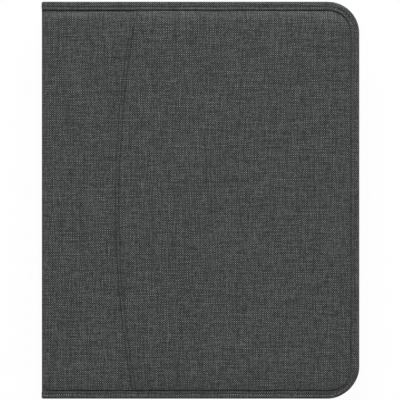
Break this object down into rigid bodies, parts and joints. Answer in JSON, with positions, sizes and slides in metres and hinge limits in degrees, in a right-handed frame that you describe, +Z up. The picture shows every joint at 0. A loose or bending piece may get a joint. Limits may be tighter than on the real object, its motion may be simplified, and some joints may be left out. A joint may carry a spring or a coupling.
{
  "type": "tablet keyboard case",
  "caption": "Padded woven-fabric folio with a bound, rounded edge, a curved front pocket and a zip, holding a slim keyboard and a tilting clamp for a tablet.",
  "frame": {"origin": "middle of the closed case's underside, on the surface it lies on", "axes": "+X from the spine to the opening edge, +Y to the top edge of the front cover, +Z up through the front cover; the front cover faces up"},
  "size_m": [0.216, 0.27, 0.032],
  "materials": {
    "outer_fabric": "matte",
    "edge_binding": "matte",
    "padding_foam": "matte",
    "stiffener_board": "matte",
    "lining": "matte",
    "zip_tape": "matte",
    "zip_teeth": "satin",
    "zip_metal": "satin",
    "fastening_strip": "matte",
    "keyboard_housing": "satin",
    "key_caps": "satin",
    "membrane_rubber": "matte",
    "circuit_board": "satin",
    "battery_foil": "satin",
    "light_pipe": "gloss",
    "steel": "satin",
    "holder_plastic": "satin",
    "grip_rubber": "matte"
  },
  "bodies": {
    "back_cover": {"back_outer_fabric": "outer_fabric", "back_foam": "padding_foam", "back_board": "stiffener_board", "back_lining": "lining", "back_binding": "edge_binding", "lower_fold": "outer_fabric", "zipper_tape_back": "zip_tape", "zipper_teeth_back": "zip_teeth", "keyboard_fastening_strips": "fastening_strip", "keyboard_tray": "keyboard_housing", "keyboard_battery": "battery_foil", "keyboard_circuit_board": "circuit_board", "key_membrane": "membrane_rubber", "keyboard_frame": "keyboard_housing", "keyboard_screws": "steel", "charging_port": "steel", "status_lights": "light_pipe", "inner_pocket": "lining"},
    "spine": {"spine_outer_fabric": "outer_fabric", "spine_board": "stiffener_board", "spine_lining": "lining", "spine_binding": "edge_binding", "upper_fold": "outer_fabric"},
    "front_cover": {"front_outer_fabric": "outer_fabric", "front_pocket_panel": "outer_fabric", "front_foam": "padding_foam", "front_board": "stiffener_board", "front_lining": "lining", "front_binding": "edge_binding", "zipper_tape_front": "zip_tape", "zipper_teeth_front": "zip_teeth", "holder_hinge_leaf": "steel", "holder_hinge_pin": "steel", "hinge_rivets": "steel"},
    "tablet_holder": {"holder_plate": "holder_plastic", "fixed_hooks": "holder_plastic", "hook_pads": "grip_rubber", "arm_retainers": "holder_plastic", "retainer_screws": "steel"},
    "clamp": {"clamp_jaw": "holder_plastic", "clamp_pad": "grip_rubber"},
    "zip_slider": {"zipper_slider": "zip_metal"},
    "zip_pull": {"zipper_pull": "zip_metal"},
    "function_keys": {"function_row": "key_caps"},
    "number_keys": {"number_row": "key_caps"},
    "upper_keys": {"upper_row": "key_caps"},
    "home_keys": {"home_row": "key_caps"},
    "lower_keys": {"lower_row": "key_caps"},
    "bottom_keys": {"bottom_row": "key_caps"},
    "space_key": {"space_bar": "key_caps"},
    "power_slider": {"power_switch": "key_caps"},
    "pairing_key": {"pairing_button": "key_caps"}
  },
  "joints": [
    {"name": "cover_fold", "type": "hinge", "parent": "spine", "child": "front_cover", "pos_m": [-0.10654, 0, 0.03044], "axis": [0, -1, 0], "range_deg": [0, 90], "deforming": ["upper_fold"]},
    {"name": "spine_fold", "type": "hinge", "parent": "back_cover", "child": "spine", "pos_m": [-0.10654, 0, 0.00156], "axis": [0, -1, 0], "range_deg": [0, 90], "deforming": ["lower_fold"]},
    {"name": "holder_tilt", "type": "hinge", "parent": "front_cover", "child": "tablet_holder", "pos_m": [-0.093, 0, 0.025], "axis": [0, 1, 0], "range_deg": [0, 60]},
    {"name": "clamp_slide", "type": "slide", "parent": "tablet_holder", "child": "clamp", "axis": [1, 0, 0], "range_m": [0, 0.014]},
    {"name": "zip_slide", "type": "slide", "parent": "back_cover", "child": "zip_slider", "axis": [1, 0, 0], "range_m": [0, 0.17]},
    {"name": "pull_swing", "type": "hinge", "parent": "zip_slider", "child": "zip_pull", "pos_m": [-0.096, -0.1331, 0.01565], "axis": [0, 0, -1], "range_deg": [0, 140]},
    {"name": "function_press", "type": "slide", "parent": "back_cover", "child": "function_keys", "axis": [0, 0, -1], "range_m": [0, 0.0012], "stiffness_N_per_m": 800, "springref_m": -0.0004},
    {"name": "number_press", "type": "slide", "parent": "back_cover", "child": "number_keys", "axis": [0, 0, -1], "range_m": [0, 0.0012], "stiffness_N_per_m": 800, "springref_m": -0.0004},
    {"name": "upper_press", "type": "slide", "parent": "back_cover", "child": "upper_keys", "axis": [0, 0, -1], "range_m": [0, 0.0012], "stiffness_N_per_m": 800, "springref_m": -0.0004},
    {"name": "home_press", "type": "slide", "parent": "back_cover", "child": "home_keys", "axis": [0, 0, -1], "range_m": [0, 0.0012], "stiffness_N_per_m": 800, "springref_m": -0.0004},
    {"name": "lower_press", "type": "slide", "parent": "back_cover", "child": "lower_keys", "axis": [0, 0, -1], "range_m": [0, 0.0012], "stiffness_N_per_m": 800, "springref_m": -0.0004},
    {"name": "bottom_press", "type": "slide", "parent": "back_cover", "child": "bottom_keys", "axis": [0, 0, -1], "range_m": [0, 0.0012], "stiffness_N_per_m": 800, "springref_m": -0.0004},
    {"name": "space_press", "type": "slide", "parent": "back_cover", "child": "space_key", "axis": [0, 0, -1], "range_m": [0, 0.0012], "stiffness_N_per_m": 800, "springref_m": -0.0004},
    {"name": "power_slide", "type": "slide", "parent": "back_cover", "child": "power_slider", "axis": [0, 1, 0], "range_m": [0, 0.003]},
    {"name": "pairing_press", "type": "slide", "parent": "back_cover", "child": "pairing_key", "axis": [0, 0, -1], "range_m": [0, 0.0006], "stiffness_N_per_m": 900, "springref_m": -0.0002}
  ],
  "couplings": [
    {"joint": "spine_fold", "follows": "cover_fold", "ratio": 1},
    {"joint": "holder_tilt", "follows": "cover_fold", "ratio": 0.6666}
  ]
}
